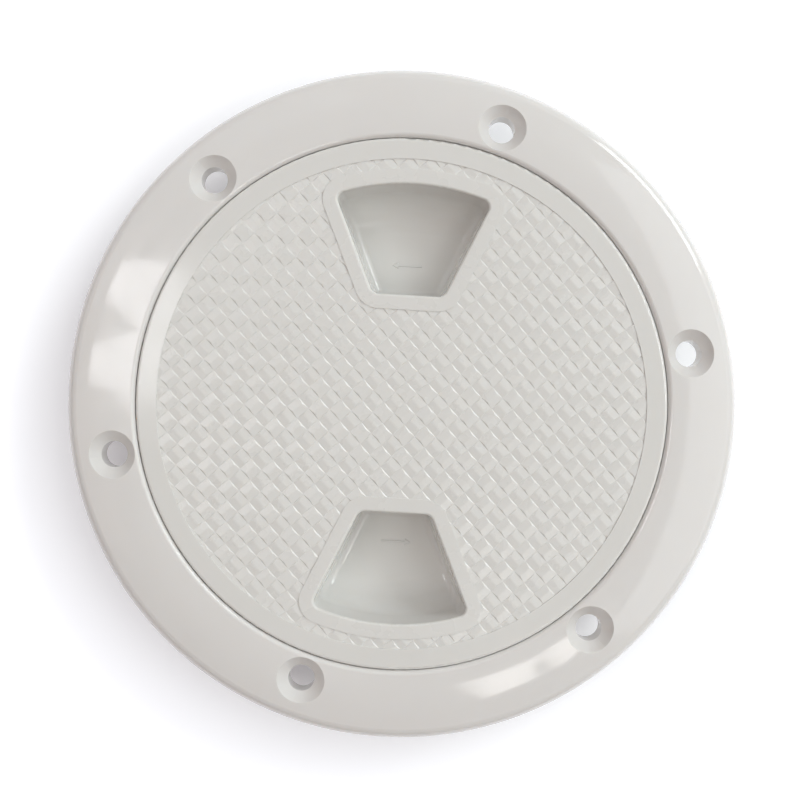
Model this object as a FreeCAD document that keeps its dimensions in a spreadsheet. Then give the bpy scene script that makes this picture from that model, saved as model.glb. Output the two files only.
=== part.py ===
import FreeCAD, Part

import math
import os

import Sketcher
from FreeCAD import Placement, Rotation, Vector

# Deck inspection plate: a ring that screws to the deck, a lid that screws into the ring,
# and the O-ring between them. Lengths are in millimetres, angles in degrees.
# The origin is on the ring's axis in the deck plane, +Z points out of the deck,
# and the closed lid's two finger recesses lie on the Y axis.

doc = FreeCAD.newDocument("deck_inspection_plate")
sheet = doc.addObject("Spreadsheet::Sheet", "sizes")

# Driving dimensions: name, value, what it is
SIZES = [
    ("lid_radius", 56.25, "outside of the lid's rim"),
    ("lid_drop", 0.15, "lid's top below the ring's inner edge"),
    ("rim_thickness", 3.2, "thickness of the lid's rim"),
    ("plate_thickness", 3.0, "thickness of the lid's plate"),
    ("rim_overhang", 6.05, "lid's rim beyond its skirt"),
    ("skirt_wall", 2.4, "wall of the lid's skirt"),
    ("skirt_depth", 11.4, "depth of the skirt below the deck plane"),
    ("skirt_chamfer", 0.8, "chamfer that leads the skirt into the collar"),
    ("seam_gap", 0.15, "gap between the lid's rim and the ring"),
    ("lid_edge_round", 0.7, "rounding of the lid's edge at the seam"),
    ("ring_edge_round", 0.9, "rounding of the ring's edge at the seam"),
    ("seat_gap", 0.4, "gap between the lid's rim and the shelf below it"),
    ("flange_width", 15.0, "flange from the wall round the lid to its outer edge"),
    ("flange_height", 6.5, "top of the flange beside the lid"),
    ("flange_fall", 1.2, "drop of the crowned top from the lid to the rim"),
    ("flange_crown", 55.0, "radius of the crowned top's section"),
    ("rim_round", 3.0, "rounding of the flange's outer edge"),
    ("flange_skin", 2.4, "wall over and beside the channel under the flange"),
    ("screw_offset", 5.85, "circle of screw holes from the wall round the lid"),
    ("screw_count", 6, "number of screw holes"),
    ("first_screw_angle", 13.3, "angle of the first screw hole from the X axis"),
    ("screw_hole_radius", 2.8, "clearance hole for a screw"),
    ("countersink_radius", 5.1, "countersink where it meets the top"),
    ("countersink_angle", 82.0, "included angle of the countersink"),
    ("boss_wall", 2.8, "wall of the boss round each screw hole"),
    ("thread_space", 1.8, "space between the skirt and the collar's bore"),
    ("collar_wall", 2.4, "wall of the collar"),
    ("collar_depth", 14.0, "depth of the collar below the deck plane"),
    ("collar_chamfer", 0.6, "chamfer at the collar's lower edges"),
    ("seal_section", 2.4, "diameter of the O-ring's section"),
    ("seal_gap", 0.3, "gap round the O-ring"),
    ("thread_lead", 4.0, "rise of the thread in one turn"),
    ("thread_turns", 1.75, "turns of each ridge"),
    ("thread_top", 1.75, "depth of the ring's ridge below the deck plane at its upper end"),
    ("crest_gap", 0.45, "gap between a ridge's crest and the opposite wall"),
    ("flank_gap", 0.4, "gap along the axis between the loaded flanks"),
    ("crest_width", 1.0, "flat on the crest of each ridge"),
    ("flank_angle", 30.0, "slope of the ridges' flanks"),
    ("ridge_root", 0.4, "depth of a ridge's root inside its wall"),
    ("recess_inner", 23.0, "distance of a recess's straight inner edge from the axis"),
    ("recess_half_width", 7.6, "half the length of a recess's inner edge"),
    ("recess_side_angle", 24.0, "splay of a recess's sides"),
    ("recess_margin", 9.65, "lid's edge to a recess's outer edge"),
    ("recess_depth", 13.5, "depth of a recess below the lid's top"),
    ("recess_draft", 4.0, "draft of a recess's walls"),
    ("recess_corner", 2.0, "corner radius at a recess's inner edge"),
    ("recess_sweep", 7.5, "radius of the curve from a recess's floor to its outer wall"),
    ("recess_fillet", 1.7, "fillet along a recess's floor and outer corners"),
    ("recess_lip", 0.5, "rounding of a recess's rim"),
    ("tub_wall", 2.2, "wall of the tub under each recess"),
    ("border_width", 4.45, "smooth border from the lid's edge to the woven field"),
    ("frame_width", 3.1, "smooth band round each recess"),
    ("field_drop", 0.1, "top of the weave below the lid's top"),
    ("weave_pitch", 4.54, "repeat of the weave along X and along Y"),
    ("weave_height", 0.16, "height of a strand where it lies on top"),
    ("strand_side", 0.28, "width of a strand's steep side"),
    ("strand_end", 1.45, "length over which a strand dips at its ends"),
    ("weave_x", 0.82, "offset of the weave along X"),
    ("weave_y", -2.11, "offset of the weave along Y"),
    ("cut_past", 1.0, "reach of a cutting form past the surface that it cuts"),
]
for row, (alias, value, meaning) in enumerate(SIZES, start=1):
    sheet.set(f"A{row}", meaning)
    sheet.set(f"B{row}", str(value))
    sheet.setAlias(f"B{row}", alias)

# Sizes worked out from the driving ones: name, formula, what it is
DERIVED = [
    ("lid_top", "=flange_height - lid_drop", "top of the lid"),
    ("rim_under", "=lid_top - rim_thickness", "underside of the lid's rim"),
    ("plate_under", "=lid_top - plate_thickness", "underside of the lid's plate"),
    ("shelf", "=rim_under - seat_gap", "shelf under the lid's rim"),
    ("seat_radius", "=lid_radius + seam_gap", "wall round the lid"),
    ("skirt_radius", "=lid_radius - rim_overhang", "outside of the lid's skirt"),
    ("collar_bore", "=skirt_radius + thread_space", "bore radius of the collar"),
    ("flange_radius", "=seat_radius + flange_width", "outside of the flange"),
    ("screw_radius", "=seat_radius + screw_offset", "screw holes' distance from the axis"),
    ("crown_chord", "=sqrt(flange_width ^ 2 + flange_fall ^ 2)", "chord of the crowned top's section"),
    ("crown_reach", "=sqrt(flange_crown ^ 2 - crown_chord ^ 2 / 4)", "chord to the crown's centre"),
    ("crown_centre", "=seat_radius + flange_width / 2 - crown_reach * flange_fall / crown_chord",
     "crown's centre from the axis"),
    ("crown_level", "=flange_height - flange_fall / 2 - crown_reach * flange_width / crown_chord",
     "height of the crown's centre"),
    ("screw_top", "=crown_level + sqrt(flange_crown ^ 2 - (screw_radius - crown_centre) ^ 2)",
     "height of the crowned top at the screw holes"),
    ("seal_radius", "=seal_section / 2", "radius of the O-ring's section"),
    ("seal_circle", "=skirt_radius + seal_gap + seal_radius", "radius of the O-ring's centre line"),
    ("seal_level", "=rim_under - seal_gap - seal_radius", "height of the O-ring's centre line"),
    ("cone_reach", "=(seal_radius + seal_gap) * sqrt(2)", "O-ring's centre line to the seat's cone"),
    ("cone_top_radius", "=seal_circle + shelf - seal_level + cone_reach", "seat's cone at the shelf"),
    ("cone_bottom", "=collar_bore - seal_circle - cone_reach + seal_level", "seat's cone at the bore"),
    ("collar_radius", "=collar_bore + collar_wall", "outside of the collar"),
    ("channel_inner", "=seat_radius + flange_skin", "inner wall of the channel"),
    ("channel_outer", "=flange_radius - flange_skin", "outer wall of the channel"),
    ("channel_depth", "=flange_height - flange_fall - flange_skin", "depth of the channel"),
    ("boss_radius", "=screw_hole_radius + boss_wall", "outside of a screw boss"),
    ("ring_crest", "=skirt_radius + crest_gap", "crest of the ring's ridge"),
    ("lid_crest", "=collar_bore - crest_gap", "crest of the lid's ridge"),
    ("flank_run", "=tan(flank_angle)", "rise of a flank for each length across it"),
    ("ridge_run", "=thread_lead * thread_turns", "rise of a ridge from end to end"),
    ("mesh_width", "=crest_width + (lid_crest - ring_crest) * flank_run + flank_gap",
     "lid's ridge below the ring's ridge"),
    ("ring_ridge_start", "=-thread_top - ridge_run", "lower end of the ring's ridge"),
    ("lid_ridge_start", "=ring_ridge_start - mesh_width + thread_lead / 2", "lower end of the lid's ridge"),
    ("recess_outer", "=lid_radius - recess_margin", "radius of a recess's outer edge"),
    ("recess_floor", "=lid_top - recess_depth", "floor of a recess"),
    ("field_radius", "=lid_radius - border_width", "outside of the woven field"),
    ("weave_floor", "=lid_top - field_drop - weave_height", "floor of the weave"),
]
for row, (alias, formula, meaning) in enumerate(DERIVED, start=len(SIZES) + 2):
    sheet.set(f"A{row}", meaning)
    sheet.set(f"B{row}", formula)
    sheet.setAlias(f"B{row}", alias)
doc.recompute()

TOLERANCE = 1e-4  # two places nearer than this are the same
STEEP = 0.9  # an edge runs down a wall when its direction's Z is more than this
UPRIGHT = 0.5  # a face is a wall when its normal's Z is less than this


def size(alias):
    """The value of one cell of the sheet."""
    return float(sheet.get(alias))


def bind(thing, prop, formula):
    """Tie a property to a formula in the sheet's names, each written as {name}."""
    thing.setExpression(prop, formula.replace("{", "sizes.").replace("}", ""))


def value_of(formula):
    """The value of a formula in the sheet's names, each written as {name}."""
    return float(sheet.evalExpression(formula.replace("{", "sizes.").replace("}", "")))


def make(kind, name, **links):
    """Add one object and set its links."""
    thing = doc.addObject(kind, name)
    for prop, linked in links.items():
        setattr(thing, prop, linked)
    return thing


def plane(body, role):
    """One of a body's origin planes or axes."""
    return next(feature for feature in body.Origin.OriginFeatures if feature.Role == role)


def outline(body, name, role, points, arcs=None):
    """A closed sketch through points given as formulas, counter-clockwise.

    arcs maps a side's number to the radius of its outward bulge.
    """
    arcs = arcs or {}
    sketch = body.newObject("Sketcher::SketchObject", name)
    sketch.AttachmentSupport = [(plane(body, role), "")]
    sketch.MapMode = "FlatFace"
    corners = [Vector(value_of(across), value_of(up), 0) for across, up in points]
    for side, corner in enumerate(corners):
        following = corners[(side + 1) % len(corners)]
        if side not in arcs:
            sketch.addGeometry(Part.LineSegment(corner, following), False)
            continue
        radius = value_of(arcs[side])
        chord = following - corner
        outward = Vector(chord.y, -chord.x, 0).normalize()
        centre = (corner + following) / 2 - outward * math.sqrt(radius ** 2 - chord.Length ** 2 / 4)
        middle = centre + outward * radius
        sketch.addGeometry(Part.Arc(corner, middle, following), False)
    starts = []
    for side, corner in enumerate(corners):
        near_start = (sketch.getPoint(side, 1) - corner).Length < TOLERANCE
        starts.append(1 if near_start else 2)
    for side in range(len(corners)):
        following = (side + 1) % len(corners)
        end = 3 - starts[side]
        sketch.addConstraint(Sketcher.Constraint("Coincident", side, end, following, starts[following]))
    for side, (across, up) in enumerate(points):
        for kind, formula in (("DistanceX", across), ("DistanceY", up)):
            amount = value_of(formula)
            if formula == "0":
                axis = -2 if kind == "DistanceX" else -1
                sketch.addConstraint(Sketcher.Constraint("PointOnObject", side, starts[side], axis))
                continue
            index = sketch.addConstraint(Sketcher.Constraint(kind, side, starts[side], amount))
            bind(sketch, f"Constraints[{index}]", formula)
    for side, formula in arcs.items():
        index = sketch.addConstraint(Sketcher.Constraint("Radius", side, value_of(formula)))
        bind(sketch, f"Constraints[{index}]", formula)
    return sketch


def revolve(body, name, sketch, kind="PartDesign::Revolution"):
    """Turn a sketch once about the body's Z axis."""
    turned = body.newObject(kind, name)
    turned.Profile = sketch
    turned.ReferenceAxis = (sketch, ["V_Axis"])
    turned.Angle = 360.0
    return turned


def round_edges(body, name, formula, wanted):
    """Fillet the edges of the body's tip for which wanted(edge) holds."""
    doc.recompute()
    tip = body.Tip
    names = [f"Edge{index}" for index, edge in enumerate(tip.Shape.Edges, start=1) if wanted(edge)]
    rounded = body.newObject("PartDesign::Fillet", name)
    rounded.Base = (tip, names)
    bind(rounded, "Radius", formula)
    return rounded


def is_circle(edge, radius, level):
    """Whether an edge is the full circle of this radius at this level."""
    if not isinstance(edge.Curve, Part.Circle):
        return False
    return abs(edge.Curve.Radius - radius) < TOLERANCE and abs(edge.Curve.Center.z - level) < TOLERANCE


# Deck ring: flange, seat and collar turned as one section
ring_core = make("PartDesign::Body", "ring_core")
ring_section = outline(ring_core, "ring_section", "XZ_Plane", [
    ("{collar_bore}", "-{collar_depth} + {collar_chamfer}"),
    ("{collar_bore} + {collar_chamfer}", "-{collar_depth}"),
    ("{collar_radius} - {collar_chamfer}", "-{collar_depth}"),
    ("{collar_radius}", "-{collar_depth} + {collar_chamfer}"),
    ("{collar_radius}", "0"),
    ("{flange_radius}", "0"),
    ("{flange_radius}", "{flange_height} - {flange_fall}"),
    ("{seat_radius}", "{flange_height}"),
    ("{seat_radius}", "{shelf}"),
    ("{cone_top_radius}", "{shelf}"),
    ("{collar_bore}", "{cone_bottom}"),
], arcs={6: "{flange_crown}"})
revolve(ring_core, "ring_turned", ring_section)

round_edges(ring_core, "seat_rounding", "{ring_edge_round}",
            lambda edge: is_circle(edge, size("seat_radius"), size("flange_height")))

# Channel under the flange, which keeps its wall even
channel_section = outline(ring_core, "channel_section", "XZ_Plane", [
    ("{channel_inner}", "0"),
    ("{channel_outer}", "0"),
    ("{channel_outer}", "{channel_depth}"),
    ("{channel_inner}", "{channel_depth}"),
])
revolve(ring_core, "channel", channel_section, "PartDesign::Groove")

# A boss through the channel at each screw hole
boss_sketch = ring_core.newObject("Sketcher::SketchObject", "boss_sketch")
boss_sketch.AttachmentSupport = [(plane(ring_core, "XY_Plane"), "")]
boss_sketch.MapMode = "FlatFace"
boss_middle = Vector(size("screw_radius"), 0, 0)
boss_sketch.addGeometry(Part.Circle(boss_middle, Vector(0, 0, 1), size("boss_radius")), False)
boss_sketch.addConstraint(Sketcher.Constraint("PointOnObject", 0, 3, -1))
boss_place = boss_sketch.addConstraint(Sketcher.Constraint("DistanceX", 0, 3, boss_middle.x))
bind(boss_sketch, f"Constraints[{boss_place}]", "{screw_radius}")
boss_size = boss_sketch.addConstraint(Sketcher.Constraint("Radius", 0, size("boss_radius")))
bind(boss_sketch, f"Constraints[{boss_size}]", "{boss_radius}")
boss = ring_core.newObject("PartDesign::Pad", "boss")
boss.Profile = boss_sketch
bind(boss, "Length", "{channel_depth} + {flange_skin} / 2")


def ring_of_copies(name, feature):
    """Repeat one feature of the ring at every screw hole."""
    doc.recompute()
    pattern = ring_core.newObject("PartDesign::PolarPattern", name)
    pattern.Originals = [feature]
    pattern.Axis = (plane(ring_core, "Z_Axis"), [""])
    pattern.Angle = 360.0
    bind(pattern, "Occurrences", "{screw_count}")
    ring_core.Tip = pattern
    return pattern


ring_of_copies("bosses", boss)

# Countersunk screw hole, turned about its own axis
hole_section = outline(ring_core, "hole_section", "XZ_Plane", [
    ("0", "-{cut_past}"),
    ("{screw_hole_radius}", "-{cut_past}"),
    ("{screw_hole_radius}",
     "{screw_top} - ({countersink_radius} - {screw_hole_radius}) / tan({countersink_angle} / 2)"),
    ("{countersink_radius} + {cut_past} * tan({countersink_angle} / 2)", "{screw_top} + {cut_past}"),
    ("0", "{screw_top} + {cut_past}"),
])
bind(hole_section, "AttachmentOffset.Base.x", "{screw_radius}")
screw_hole = revolve(ring_core, "screw_hole", hole_section, "PartDesign::Groove")
ring_of_copies("screw_holes", screw_hole)

round_edges(ring_core, "rim_rounding", "{rim_round}",
            lambda edge: is_circle(edge, size("flange_radius"), size("flange_height") - size("flange_fall")))


def thread_ridge(name, wall, crest, start, angle):
    """One ridge of the thread, from inside its wall to its crest, swept along a helix."""
    path = make("Part::Helix", f"{name}_path")
    path.Angle = 0.0
    bind(path, "Pitch", "{thread_lead}")
    bind(path, "Height", "{ridge_run}")
    bind(path, "Radius", wall)
    half_root = f"({{crest_width}} / 2 + abs({wall} - {crest}) * {{flank_run}})"
    profile_body = make("PartDesign::Body", f"{name}_profile")
    profile = outline(profile_body, f"{name}_section", "XZ_Plane", [
        (wall, f"-{half_root}"),
        (crest, "-{crest_width} / 2"),
        (crest, "{crest_width} / 2"),
        (wall, half_root),
    ])
    ridge = make("Part::Sweep", name, Sections=[profile], Spine=(path, []))
    ridge.Solid = True
    ridge.Frenet = True
    ridge.Placement = Placement(Vector(0, 0, 0), Rotation(Vector(0, 0, 1), angle))
    bind(ridge, "Placement.Base.z", start)
    return ridge


ring_ridge = thread_ridge("ring_ridge", "({collar_bore} + {ridge_root})", "{ring_crest}",
                          "{ring_ridge_start}", 0)
bind(ring_core, "Placement.Rotation.Angle", "{first_screw_angle}")
deck_ring = make("Part::Fuse", "deck_ring", Base=ring_core, Tool=ring_ridge)

# O-ring
o_ring_seal = make("Part::Torus", "o_ring_seal")
bind(o_ring_seal, "Radius1", "{seal_circle}")
bind(o_ring_seal, "Radius2", "{seal_radius}")
bind(o_ring_seal, "Placement.Base.z", "{seal_level}")

# Lid: plate, rim and skirt turned as one section
lid_core = make("PartDesign::Body", "lid_core")
lid_section = outline(lid_core, "lid_section", "XZ_Plane", [
    ("0", "{plate_under}"),
    ("{skirt_radius} - {skirt_wall}", "{plate_under}"),
    ("{skirt_radius} - {skirt_wall}", "-{skirt_depth}"),
    ("{skirt_radius} - {skirt_chamfer}", "-{skirt_depth}"),
    ("{skirt_radius}", "-{skirt_depth} + {skirt_chamfer}"),
    ("{skirt_radius}", "{rim_under}"),
    ("{lid_radius}", "{rim_under}"),
    ("{lid_radius}", "{lid_top}"),
    ("0", "{lid_top}"),
])
revolve(lid_core, "lid_turned", lid_section)
round_edges(lid_core, "lid_rounding", "{lid_edge_round}",
            lambda edge: is_circle(edge, size("lid_radius"), size("lid_top")))


def recess_form(name, grow, level, floor, draft):
    """The space inside a recess's walls, with every wall moved out by grow.

    Its plan lies at level and its floor at floor. The straight walls and the outer wall,
    which is turned about the lid's axis, lean in by draft on the way down.
    """
    body = make("PartDesign::Body", name)
    side = "{recess_side_angle}"
    half = f"({{recess_half_width}} + ({grow}) * (1 - sin({side})) / cos({side}))"
    near = f"({{recess_inner}} - ({grow}))"
    outer = f"({{recess_outer}} + ({grow}))"
    far = f"({outer} + {{cut_past}})"
    half_far = f"({half} + ({far} - {near}) * tan({side}))"
    plan = outline(body, f"{name}_plan", "XY_Plane", [
        (f"-{half}", near),
        (half, near),
        (half_far, far),
        (f"-{half_far}", far),
    ])
    bind(plan, "AttachmentOffset.Base.z", level)
    block = body.newObject("PartDesign::Pad", f"{name}_block")
    block.Profile = plan
    block.Reversed = True
    bind(block, "Length", f"{level} - ({floor})")
    bind(block, "TaperAngle", f"-({draft})")
    round_edges(body, f"{name}_inner_corners", f"{{recess_corner}} + ({grow})", is_inner_corner)
    foot = f"{outer} - ({level} - ({floor})) * tan({draft})"
    waste = outline(body, f"{name}_waste", "XZ_Plane", [
        (outer, f"{level} + {outer}"),
        (outer, level),
        (foot, floor),
        (foot, f"({floor}) - {outer}"),
        (f"{far} + {half_far}", f"({floor}) - {outer}"),
        (f"{far} + {half_far}", f"{level} + {outer}"),
    ])
    revolve(body, f"{name}_outer_wall", waste, "PartDesign::Groove")
    return body


def is_inner_corner(edge):
    """Whether an edge runs down between a recess's inner wall and a side wall."""
    steep = abs(edge.tangentAt(edge.FirstParameter).z) > STEEP
    return steep and edge.CenterOfMass.y < size("recess_inner") + size("recess_corner")


def is_side(face):
    """Whether a face is a straight wall of a recess or the corner between two of them."""
    turned = isinstance(face.Surface, (Part.Cone, Part.Cylinder, Part.Toroid))
    about_axis = turned and math.hypot(face.Surface.Center.x, face.Surface.Center.y) < TOLERANCE
    return not about_axis and abs(face.normalAt(0, 0).z) < UPRIGHT


def soften_outer_corners(body, name, radius):
    """Round a recess's two upright outer corners, and all that follows on from them."""
    doc.recompute()
    shape = body.Tip.Shape
    middle = (size("recess_inner") + size("recess_outer")) / 2

    def wanted(edge):
        sides = [is_side(face) for face in shape.ancestorsOfType(edge, Part.Face)]
        steep = abs(edge.tangentAt(edge.FirstParameter).z) > STEEP
        return sides.count(True) == 1 and steep and edge.CenterOfMass.y > middle

    round_edges(body, name, radius, wanted)


def soften_floor(body, name, grow):
    """Sweep the floor up into the outer wall, then round the floor's other edges and the corners."""
    doc.recompute()
    floor = min(vertex.Z for vertex in body.Tip.Shape.Vertexes)

    def is_outer_foot(edge):
        low = all(abs(vertex.Z - floor) < TOLERANCE for vertex in edge.Vertexes)
        return low and isinstance(edge.Curve, Part.Circle) and edge.Curve.Radius > size("recess_inner")

    round_edges(body, f"{name}_sweep", f"{{recess_sweep}} + ({grow})", is_outer_foot)
    doc.recompute()
    shape = body.Tip.Shape
    top = max(vertex.Z for vertex in shape.Vertexes)

    def is_side_foot(edge):
        if all(vertex.Z > top - TOLERANCE for vertex in edge.Vertexes):
            return False
        sides = [is_side(face) for face in shape.ancestorsOfType(edge, Part.Face)]
        return sides.count(True) == 1

    round_edges(body, f"{name}_fillet", f"{{recess_fillet}} + ({grow})", is_side_foot)


cavity = recess_form("recess_cavity", "0", "({lid_top} + {recess_lip})", "{recess_floor}",
                     "{recess_draft}")
soften_floor(cavity, "recess_cavity", "0")
tub = recess_form("recess_tub", "{tub_wall}", "({plate_under} + {plate_thickness} / 2)",
                  "{recess_floor} - {tub_wall}", "{recess_draft}")
soften_floor(tub, "recess_tub", "{tub_wall}")
frame = recess_form("recess_frame", "{frame_width}", "({lid_top} + 2 * {cut_past})",
                    "{weave_floor} - {cut_past}", "0")
soften_outer_corners(frame, "recess_frame_corners", "{recess_fillet} + {frame_width}")


def facing_pair(form):
    """A form on the +Y side and its mirror image on the -Y side."""
    twin = make("Part::Mirroring", f"{form.Name}_twin", Source=form)
    twin.Normal = Vector(0, 1, 0)
    return [form, twin]


lid_ridge = thread_ridge("lid_ridge", "({skirt_radius} - {ridge_root})", "{lid_crest}",
                         "{lid_ridge_start}", 180)
lid_solid = make("Part::MultiFuse", "lid_solid", Shapes=[lid_core, lid_ridge] + facing_pair(tub))
cavities = make("Part::Compound", "cavities", Links=facing_pair(cavity))
lid_hollow = make("Part::Cut", "lid_hollow", Base=lid_solid, Tool=cavities)
doc.recompute()

# Rounded lip of each recess: the edges in the lid's top face other than its long outer circle
lip_edges = []
for index, edge in enumerate(lid_hollow.Shape.Edges, start=1):
    level = all(abs(vertex.Z - size("lid_top")) < TOLERANCE for vertex in edge.Vertexes)
    if level and edge.Length < size("lid_radius"):
        lip_edges.append((index, size("recess_lip"), size("recess_lip")))
lid_lipped = make("Part::Fillet", "lid_lipped", Base=lid_hollow)
lid_lipped.Edges = lip_edges

# Woven field: a checkerboard of strands that lie over and under each other.
# Each tile is the stretch of one strand that lies on top. Its two sides are steep,
# and its two ends dip under the strands that cross it.
field_disc = make("Part::Cylinder", "field_disc")
bind(field_disc, "Radius", "{field_radius}")
bind(field_disc, "Height", "{weave_height} + {field_drop} + {cut_past}")
bind(field_disc, "Placement.Base.z", "{weave_floor}")
frames = make("Part::Compound", "frames", Links=facing_pair(frame))
field_space = make("Part::Cut", "field_space", Base=field_disc, Tool=frames)
doc.recompute()


def weave_tile(angle, centre):
    """One tile with its strand running at angle through centre."""
    half = size("weave_pitch") / math.sqrt(8)
    side = half - size("strand_side")
    end = half - size("strand_end")
    tile = Part.makeWedge(-half, 0, -half, -side, -end, half, size("weave_height"), half, side, end)
    upright = Placement(Vector(0, 0, 0), Rotation(Vector(1, 0, 0), 90))
    tile.Placement = Placement(centre, Rotation(Vector(0, 0, 1), angle)).multiply(upright)
    return tile


def covers(shape, tile):
    """Whether every corner of a tile is inside a shape."""
    return all(shape.isInside(vertex.Point, TOLERANCE, True) for vertex in tile.Vertexes)


def weave():
    """Every tile that reaches into the field."""
    step = size("weave_pitch") / 2
    offset = Vector(size("weave_x"), size("weave_y"), size("weave_floor"))
    outer = size("field_radius") + step
    reach = math.ceil((outer + offset.Length) / step)
    tiles = []
    for column in range(-reach, reach + 1):
        for row in range(-reach, reach + 1):
            if (column + row) % 2:
                continue
            centre = offset + Vector(column * step, row * step, 0)
            if math.hypot(centre.x, centre.y) > outer:
                continue
            tile = weave_tile(45 if column % 2 else 135, centre)
            if not any(covers(form.Shape, tile) for form in frames.Links):
                tiles.append(tile)
    return Part.makeCompound(tiles)


weave_tiles = make("Part::Feature", "weave_tiles")
weave_tiles.Shape = weave()
weave_space = make("Part::Cut", "weave_space", Base=field_space, Tool=weave_tiles, Refine=False)
screw_lid = make("Part::Cut", "screw_lid", Base=lid_lipped, Tool=weave_space, Refine=False)
doc.recompute()

for thing in doc.Objects:
    if "Invalid" in thing.State or "Error" in thing.State:
        raise SystemExit(f"{thing.Name} did not build: {thing.State}")

os.makedirs("parts", exist_ok=True)
for node in (deck_ring, screw_lid, o_ring_seal):
    node.Label = node.Name
    shape = node.Shape
    if shape.isNull() or not shape.isValid():
        raise SystemExit(f"{node.Label} has no valid shape")
    shape.exportStep(f"parts/{node.Label}.step")
    print(f"{node.Label}: {len(shape.Solids)} solid, {len(shape.Faces)} faces, {shape.Volume:.1f} mm3")
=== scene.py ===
# %% [markdown]
# # A deck inspection plate, dressed and lit
# The object is a round white plate that closes a hole in a boat's deck. A ring is screwed
# to the deck, and a lid with a woven non-skid top screws out of it. The shapes come from the
# CAD model, so this lesson is about what they are made of and how light shows it.
# Everything is in metres, with the origin on the plate's axis in the plane of the deck.

import math

import bmesh
import bpy
from mathutils import Matrix, Vector


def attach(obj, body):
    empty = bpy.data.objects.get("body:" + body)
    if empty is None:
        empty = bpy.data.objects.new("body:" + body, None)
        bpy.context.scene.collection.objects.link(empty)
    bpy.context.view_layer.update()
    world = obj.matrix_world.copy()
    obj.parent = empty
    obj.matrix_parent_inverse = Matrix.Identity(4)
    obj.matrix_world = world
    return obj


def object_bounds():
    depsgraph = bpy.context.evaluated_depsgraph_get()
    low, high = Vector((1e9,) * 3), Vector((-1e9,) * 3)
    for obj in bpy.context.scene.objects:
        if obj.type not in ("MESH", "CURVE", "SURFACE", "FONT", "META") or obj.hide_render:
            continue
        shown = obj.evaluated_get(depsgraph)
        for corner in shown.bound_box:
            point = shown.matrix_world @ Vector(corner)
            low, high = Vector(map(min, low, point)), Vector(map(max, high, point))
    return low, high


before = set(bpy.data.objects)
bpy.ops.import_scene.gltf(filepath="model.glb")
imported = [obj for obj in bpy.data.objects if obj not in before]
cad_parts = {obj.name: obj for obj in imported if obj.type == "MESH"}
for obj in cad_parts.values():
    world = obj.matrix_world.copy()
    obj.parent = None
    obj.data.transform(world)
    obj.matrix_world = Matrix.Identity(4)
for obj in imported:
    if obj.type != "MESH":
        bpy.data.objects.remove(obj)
cad_low, cad_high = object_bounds()
MM = 0.001
print("CAD box in mm:", [round(value / MM, 2) for value in (*cad_low, *cad_high)])

# %% [markdown]
# ## The camera
# The photograph looks straight down on the plate from about 20 cm, which is why the screw
# holes seem to lean towards the middle. A real camera that close could be copied by moving
# it about until things line up, but it is surer to work from two measured facts: how many
# pixels one millimetre covers at the lid's top, and where the picture's middle falls on it.

# %% Camera
PICTURE = 800
PIXELS_PER_MM = 4.74
LID_TOP = 6.35 * MM
CAMERA_HEIGHT = 198 * MM
CAMERA_OFFSET = (-0.387 * MM, 0.809 * MM)
CAMERA_TURN = math.radians(3.4)

camera_data = bpy.data.cameras.new("camera")
focal_pixels = PIXELS_PER_MM * CAMERA_HEIGHT / MM
camera_data.lens = camera_data.sensor_width * focal_pixels / PICTURE
camera = bpy.data.objects.new("camera", camera_data)
camera.location = (*CAMERA_OFFSET, LID_TOP + CAMERA_HEIGHT)
camera.rotation_euler = (0, 0, CAMERA_TURN)
bpy.context.scene.collection.objects.link(camera)
bpy.context.scene.camera = camera
print(f"lens {camera_data.lens:.1f} mm")

# %% [markdown]
# ## Helpers for materials
# Colours are easiest to read off a picture as sRGB hex values, but the renderer adds up
# light, so one function turns them to linear values. Another adds a node to a material,
# with its settings, its numbers and its links in one call. A pattern's scale is how often it
# repeats in a metre, so a third works it out from the size of what the pattern shows.

# %% Helpers for materials
def linear(hex_value):
    """Linear RGBA of an sRGB colour such as "d8d7d2"."""
    channels = [int(hex_value[start:start + 2], 16) / 255 for start in (0, 2, 4)]
    bent = [c / 12.92 if c <= 0.04045 else ((c + 0.055) / 1.055) ** 2.4 for c in channels]
    return (*bent, 1.0)


def add_node(owner, kind, inputs=None, **settings):
    """Add a node. Each input is a number, a colour, or the output socket that feeds it."""
    node = owner.node_tree.nodes.new(kind)
    for name, value in settings.items():
        setattr(node, name, value)
    for name, value in (inputs or {}).items():
        if isinstance(value, bpy.types.NodeSocket):
            owner.node_tree.links.new(value, node.inputs[name])
        else:
            node.inputs[name].default_value = value
    return node


def new_material(name):
    """An empty material with its output node."""
    material = bpy.data.materials.new(name)
    material.use_nodes = True
    material.node_tree.nodes.clear()
    return material, add_node(material, "ShaderNodeOutputMaterial")


def per_mm(size):
    """The texture scale that gives features of about this many millimetres."""
    return 1 / (size * MM)


print("a 2 mm pattern repeats", round(per_mm(2)), "times in a metre")

# %% [markdown]
# ## Moulded white ABS: where it is glossy and where it isn't
# Ring and lid are injection-moulded ABS, a white plastic with a little warm grey in it. A
# polished mould leaves it glossy, and hands leave faint duller patches. Under the woven
# non-skid field the mould is etched, so the plastic is duller there. That could be a second
# material, but the field is in one piece with the rest of the lid, so its roughness is raised
# by place instead: inside a radius, and above the finger recesses with their glossy walls.

# %% Gloss of moulded ABS
HANDLING_SIZE = 6
NOISE_LOW, NOISE_HIGH = 0.3, 0.7  # the values that a noise texture mostly keeps between
WIPED, HANDLED = -0.03, 0.04
FIELD_RADIUS = 51.8 * MM
FIELD_FLOOR = 5.6 * MM
FIELD_EDGE = 0.3 * MM
FIELD_DULLNESS = 0.15


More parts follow.
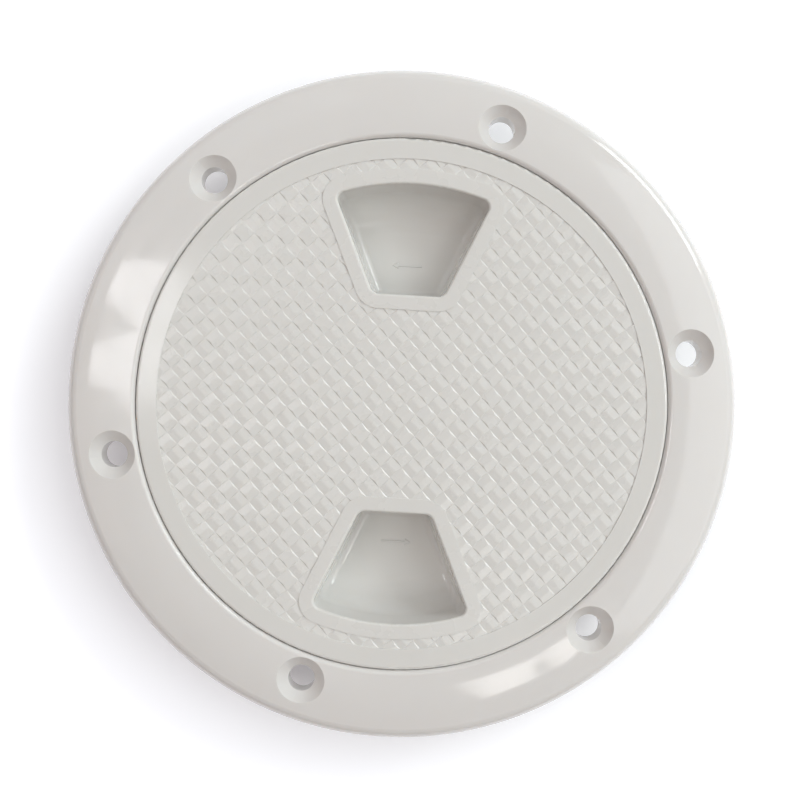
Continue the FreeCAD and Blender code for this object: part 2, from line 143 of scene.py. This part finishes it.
def etched_field(material, place):
    """Extra roughness of the woven field, and none elsewhere."""
    flat = add_node(material, "ShaderNodeVectorMath", {0: place, 1: (1, 1, 0)},
                    operation="MULTIPLY").outputs["Vector"]
    from_axis = add_node(material, "ShaderNodeVectorMath", {0: flat},
                         operation="LENGTH").outputs["Value"]
    inside = add_node(material, "ShaderNodeMapRange",
                      {"Value": from_axis, "From Min": FIELD_RADIUS,
                       "From Max": FIELD_RADIUS + FIELD_EDGE,
                       "To Min": FIELD_DULLNESS, "To Max": 0.0}).outputs["Result"]
    height = add_node(material, "ShaderNodeSeparateXYZ", {0: place}).outputs["Z"]
    on_top = add_node(material, "ShaderNodeMapRange",
                      {"Value": height, "From Min": FIELD_FLOOR,
                       "From Max": FIELD_FLOOR + FIELD_EDGE}).outputs["Result"]
    return add_node(material, "ShaderNodeMath", {0: inside, 1: on_top},
                    operation="MULTIPLY").outputs["Value"]


def moulded_roughness(material, place, polish):
    """Roughness of the polished plastic, with its handled patches and its etched field."""
    handling = add_node(material, "ShaderNodeTexNoise",
                        {"Vector": place, "Scale": per_mm(HANDLING_SIZE), "Detail": 5.0})
    gloss = add_node(material, "ShaderNodeMapRange",
                     {"Value": handling.outputs["Fac"],
                      "From Min": NOISE_LOW, "From Max": NOISE_HIGH,
                      "To Min": polish + WIPED, "To Max": polish + HANDLED})
    return add_node(material, "ShaderNodeMath",
                    {0: gloss.outputs["Result"], 1: etched_field(material, place)}
                    ).outputs["Value"]


print(f"the field is {FIELD_DULLNESS} rougher out to {FIELD_RADIUS / MM:.1f} mm")

# %% [markdown]
# ## Moulded white ABS: its skin
# Moulded plastic is never mirror-flat: it shrinks as it cools, which leaves long shallow
# waves, and its skin has a fine orange peel. Both bend reflections. A clean computer plastic
# lacks them and looks fake. Neither changes an outline, so both are bump in the material.

# %% Skin of moulded ABS
SHRINK_LENGTH, SHRINK_DEPTH = 14, 0.09 * MM
PEEL_SIZE = 0.7


def moulded_skin(material, place, peel):
    """Normals of the shrink waves, with an orange peel of this depth on them."""
    shrink = add_node(material, "ShaderNodeTexNoise",
                      {"Vector": place, "Scale": per_mm(SHRINK_LENGTH), "Detail": 1.0})
    waves = add_node(material, "ShaderNodeBump",
                     {"Height": shrink.outputs["Fac"], "Strength": 1.0,
                      "Distance": SHRINK_DEPTH})
    skin = add_node(material, "ShaderNodeTexNoise",
                    {"Vector": place, "Scale": per_mm(PEEL_SIZE), "Detail": 2.0})
    return add_node(material, "ShaderNodeBump",
                    {"Height": skin.outputs["Fac"], "Strength": 1.0, "Distance": peel,
                     "Normal": waves.outputs["Normal"]}).outputs["Normal"]


print(f"waves {SHRINK_LENGTH} mm long, orange peel of {PEEL_SIZE} mm")

# %% [markdown]
# ## Moulded white ABS: the whole
# The colour drifts a little, as the flow of the plastic in the mould makes it do. Light goes
# a fraction of a millimetre into white ABS before it comes out again, which softens its
# edges, so some of it is scattered under the surface. One function makes both mouldings,
# because the lid differs from the ring only in its tone and in a little less polish.

# %% Moulded white ABS
FLOW_LENGTH = 30
ABS_IOR = 1.54
SCATTERED = 0.4
SCATTER_DEPTH = 0.8 * MM
SCATTER_SPREAD = (1.0, 0.9, 0.8)


def moulded_abs(name, light, dark, polish, peel):
    """Glossy white ABS that drifts between two tones."""
    material, output = new_material(name)
    place = add_node(material, "ShaderNodeTexCoord").outputs["Object"]
    flow = add_node(material, "ShaderNodeTexNoise",
                    {"Vector": place, "Scale": per_mm(FLOW_LENGTH), "Detail": 3.0})
    tone = add_node(material, "ShaderNodeMix",
                    {0: flow.outputs["Fac"], 6: linear(light), 7: linear(dark)},
                    data_type="RGBA")
    plastic = add_node(material, "ShaderNodeBsdfPrincipled",
                       {"Base Color": tone.outputs[2],
                        "Roughness": moulded_roughness(material, place, polish),
                        "IOR": ABS_IOR, "Normal": moulded_skin(material, place, peel),
                        "Subsurface Weight": SCATTERED, "Subsurface Scale": SCATTER_DEPTH,
                        "Subsurface Radius": SCATTER_SPREAD})
    material.node_tree.links.new(plastic.outputs["BSDF"], output.inputs["Surface"])
    print(f"{name}: {len(material.node_tree.nodes)} nodes, roughness about {polish}")
    return material


ring_abs = moulded_abs("moulded_white_abs_ring", "e2e0de", "dddbd9", 0.08, 0.002 * MM)
lid_abs = moulded_abs("moulded_white_abs_lid", "e0dfdc", "dbdad7", 0.12, 0.003 * MM)

# %% [markdown]
# ## Black nitrile rubber
# The O-ring is moulded nitrile rubber, which is black from the soot in it and has no shine
# to speak of. Bump could give it a fine grain, but it shows only as a thin dark line when the
# lid stands up out of its seat, so its colour and its roughness stand for it.

# %% Nitrile rubber
nitrile, nitrile_output = new_material("black_nitrile_rubber")
rubber = add_node(nitrile, "ShaderNodeBsdfPrincipled",
                  {"Base Color": linear("1b1b1c"), "Roughness": 0.55, "IOR": 1.52})
nitrile.node_tree.links.new(rubber.outputs["BSDF"], nitrile_output.inputs["Surface"])
print(f"{nitrile.name}: {len(nitrile.node_tree.nodes)} nodes")

# %% [markdown]
# ## Dressing the CAD nodes
# The ring, the lid and the O-ring could be modelled again here, but the CAD model has their
# real shapes, down to the strands of the weave and the thread. So each keeps its mesh, and
# only the material in its slot is exchanged.

# %% Put the materials on the CAD nodes
def dress(node_name, material):
    """Give a CAD node one material."""
    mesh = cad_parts[node_name].data
    mesh.materials.clear()
    mesh.materials.append(material)
    print(f"{node_name}: {len(mesh.polygons)} faces, {material.name}")


dress("deck_ring", ring_abs)
dress("screw_lid", lid_abs)
dress("o_ring_seal", nitrile)

# %% [markdown]
# ## The two turning arrows
# A thin arrow stands on the floor of each finger recess and points the way the lid turns
# when it is opened. On the real lid it is a shallow cut in the mould. It could be drawn as
# bump in the lid's material, but a ridge of its own catches the light from every side. So its
# outline is one flat face, pulled up into a low ridge with softened edges. Its foot is a
# little below the recess's floor, so that no gap shows under it.

# %% An arrow's outline
ARROW_LENGTH = 6.6 * MM
ARROW_LINE = 0.38 * MM
ARROW_HEAD = 1.3 * MM
ARROW_HEAD_WIDTH = 1.5 * MM


def arrow_outline():
    """Corners of an arrow about the origin that points along +X."""
    half, tip = ARROW_LINE / 2, ARROW_LENGTH / 2
    neck, barb = tip - ARROW_HEAD, ARROW_HEAD_WIDTH / 2
    return [(-tip, -half), (neck, -half), (neck, -barb), (tip, 0), (neck, barb),
            (neck, half), (-tip, half)]


print("corners of an arrow:", len(arrow_outline()))

# %% One arrow
ARROW_HEIGHT = 0.22 * MM
ARROW_FOOT = 0.1 * MM
ARROW_SOFTENING = 0.1 * MM
SOFTENING_STEPS = 3


def surface_below(x, y):
    """Height of the lid's surface, looked for from above."""
    start = Vector((x, y, cad_high.z + MM))
    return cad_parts["screw_lid"].ray_cast(start, Vector((0, 0, -1)))[1].z


def arrow(name, x, y, turn):
    """A raised arrow that lies on the lid at (x, y) and points along +X before its turn."""
    form = bmesh.new()
    face = form.faces.new([form.verts.new((across, up, 0)) for across, up in arrow_outline()])
    raised = bmesh.ops.extrude_face_region(form, geom=[face])["geom"]
    raised_corners = [part for part in raised if isinstance(part, bmesh.types.BMVert)]
    bmesh.ops.translate(form, vec=(0, 0, ARROW_FOOT + ARROW_HEIGHT), verts=raised_corners)
    ridge = [edge for edge in form.edges if all(vert in raised_corners for vert in edge.verts)]
    bmesh.ops.bevel(form, geom=ridge, offset=ARROW_SOFTENING, segments=SOFTENING_STEPS,
                    affect="EDGES", profile=0.5, material=-1)
    bmesh.ops.recalc_face_normals(form, faces=form.faces)
    floor_level = surface_below(x, y)
    place = Matrix.Translation((x, y, floor_level - ARROW_FOOT))
    bmesh.ops.transform(form, matrix=place @ Matrix.Rotation(turn, 4, "Z"), verts=form.verts)
    mesh = bpy.data.meshes.new(name)
    form.to_mesh(mesh)
    form.free()
    mesh.materials.append(lid_abs)
    piece = bpy.data.objects.new(name, mesh)
    bpy.context.scene.collection.objects.link(piece)
    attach(piece, "lid")
    print(f"{name}: {len(mesh.polygons)} faces at z {floor_level / MM:.2f} mm")


# %% The arrow in each recess
ARROW_RADIUS = 31.04 * MM
ARROW_SHIFT = 0.5 * MM

arrow("turn_arrow_back", -ARROW_SHIFT, ARROW_RADIUS, math.pi)
arrow("turn_arrow_front", ARROW_SHIFT, -ARROW_RADIUS, 0)

# %% [markdown]
# ## The table
# The plate stands on its collar, so the flange floats 14 mm above a white table and its
# shadow is soft all the way round. A curved sweep of paper would hide the table's far edge,
# but the photograph looks straight down, so one flat face is enough.

# %% Table
TABLE_HALF = 1.5

floor_mesh = bpy.data.meshes.new("floor")
floor_form = bmesh.new()
bmesh.ops.create_grid(floor_form, x_segments=1, y_segments=1, size=TABLE_HALF)
bmesh.ops.translate(floor_form, vec=(0, 0, cad_low.z), verts=floor_form.verts)
floor_form.to_mesh(floor_mesh)
floor_form.free()
floor = bpy.data.objects.new("floor", floor_mesh)
bpy.context.scene.collection.objects.link(floor)
print(f"table {2 * TABLE_HALF} m wide at z {cad_low.z / MM:.1f} mm")

# %% [markdown]
# ## The table's paint, a painted glow with painted shade
# In the photograph the table is burnt out to white, but through the screw holes it shows
# grey. Brighter lights would burn out the plate as well, so the matt white paint glows a
# little instead, which is painted light, and glows less under and near the plate, which is
# painted shade.

# %% Matt white paint, with a painted glow and painted shade
# Out to GLOW_STARTS from the axis the glow stays low, a painted shade under and around the
# plate; by GLOW_FULL it is whole.
GLOW_STARTS, GLOW_FULL = 68 * MM, 98 * MM
GLOW_IN_PAINTED_SHADE, GLOW = 0.1, 0.42

floor_paint_and_glow, floor_output = new_material("matt_white_table_painted_glow_and_shade")
table_place = add_node(floor_paint_and_glow, "ShaderNodeTexCoord").outputs["Object"]
across_table = add_node(floor_paint_and_glow, "ShaderNodeVectorMath", {0: table_place, 1: (1, 1, 0)},
                        operation="MULTIPLY").outputs["Vector"]
from_plate = add_node(floor_paint_and_glow, "ShaderNodeVectorMath", {0: across_table},
                      operation="LENGTH").outputs["Value"]
# The glow is lowered under and near the plate: painted shade.
glow = add_node(floor_paint_and_glow, "ShaderNodeMapRange",
                {"Value": from_plate, "From Min": GLOW_STARTS, "From Max": GLOW_FULL,
                 "To Min": GLOW_IN_PAINTED_SHADE, "To Max": GLOW}).outputs["Result"]
floor_matt = add_node(floor_paint_and_glow, "ShaderNodeBsdfPrincipled",
                      {"Base Color": linear("fafafb"), "Roughness": 0.7,
                       "Emission Color": linear("e9effd"), "Emission Strength": glow})
floor_paint_and_glow.node_tree.links.new(floor_matt.outputs["BSDF"], floor_output.inputs["Surface"])
floor_mesh.materials.append(floor_paint_and_glow)
print(f"{floor_paint_and_glow.name}: glow {GLOW_IN_PAINTED_SHADE} under the plate, {GLOW} away from it")

# %% [markdown]
# ## The room
# In the photograph the light is soft and stronger from the upper right. A picture of a room
# could light the plate, but numbers are easier to correct, so the world is a room in two
# tones: dim and warm at the lower left, bright and cool at the upper right.
# Past the table's edge, a low view would look straight into the dim side. A paper sweep
# could hide it, but it would light the plate too, so the world shows a plain pale backdrop
# there, which gives no light.

# %% The room
BRIGHT_SIDE = (0.66, 0.48, 0.57)
DIMMEST_AT = -0.6
DIM, BRIGHT = 0.08, 0.64
WARM, COOL = "ffdccf", "f9fffb"
BACKDROP = "eceef2"

world = bpy.data.worlds.new("soft_room")
world.use_nodes = True
world.node_tree.nodes.clear()
direction = add_node(world, "ShaderNodeTexCoord").outputs["Generated"]
towards = add_node(world, "ShaderNodeVectorMath", {0: direction, 1: BRIGHT_SIDE},
                   operation="DOT_PRODUCT").outputs["Value"]
share = add_node(world, "ShaderNodeMapRange",
                 {"Value": towards, "From Min": DIMMEST_AT}).outputs["Result"]
strength = add_node(world, "ShaderNodeMapRange",
                    {"Value": share, "To Min": DIM, "To Max": BRIGHT}).outputs["Result"]
tint = add_node(world, "ShaderNodeMix", {0: share, 6: linear(WARM), 7: linear(COOL)},
                data_type="RGBA").outputs[2]
room = add_node(world, "ShaderNodeBackground", {"Color": tint, "Strength": strength})
backdrop = add_node(world, "ShaderNodeBackground", {"Color": linear(BACKDROP)})
seen_straight = add_node(world, "ShaderNodeLightPath").outputs["Is Camera Ray"]
room_and_backdrop = add_node(world, "ShaderNodeMixShader",
                             {0: seen_straight, 1: room.outputs["Background"],
                              2: backdrop.outputs["Background"]})
add_node(world, "ShaderNodeOutputWorld", {"Surface": room_and_backdrop.outputs["Shader"]})
bpy.context.scene.world = world
print(f"{world.name}: strength {DIM} to {BRIGHT}")

# %% [markdown]
# ## The lights
# Area lights add what is sharper than the room. A small low one, the key, catches the edges
# of the weave. Three large soft ones even out the shades of the flange. Two windows show in
# the flange's gloss, and each is two bright panes side by side. Each light is given by where
# it stands, its size in metres, its power in watts and its colour.

# %% The lights
LIGHT_DISTANCE = 1.2


def area_light(name, azimuth, elevation, width, height, power, hex_value):
    """A rectangular light aimed at the plate. Azimuth 0 is the +X side and 90 the +Y side."""
    data = bpy.data.lights.new(name, "AREA")
    data.shape = "RECTANGLE"
    data.size, data.size_y = width, height
    data.energy = power
    data.color = linear(hex_value)[:3]
    around, up = math.radians(azimuth), math.radians(elevation)
    away = Vector((math.cos(around) * math.cos(up), math.sin(around) * math.cos(up),
                   math.sin(up)))
    light = bpy.data.objects.new(name, data)
    light.location = away * LIGHT_DISTANCE
    light.rotation_euler = away.to_track_quat("Z", "Y").to_euler()
    bpy.context.scene.collection.objects.link(light)
    print(f"{name}: {power} W from {azimuth} degrees, {elevation} up")


area_light("key_upper_right", 42, 33, 0.5, 0.42, 4.0, "f7fdff")
area_light("soft_right", 4, 50, 1.2, 0.8, 4.0, "f9fdff")
area_light("soft_back_left", 135, 45, 0.8, 0.8, 0.8, "eaf5ff")
area_light("soft_left", 180, 45, 0.8, 0.8, 0.9, "ffede8")
area_light("pane_left_a", 160, 65, 0.09, 0.42, 0.65, "fdfdff")
area_light("pane_left_b", 176, 65, 0.09, 0.42, 0.65, "fdfdff")
area_light("pane_right_a", -66, 64, 0.12, 0.20, 0.42, "fffdfa")
area_light("pane_right_b", -50, 64, 0.12, 0.20, 0.42, "fffdfa")
bpy.context.scene.view_settings.view_transform = "Standard"
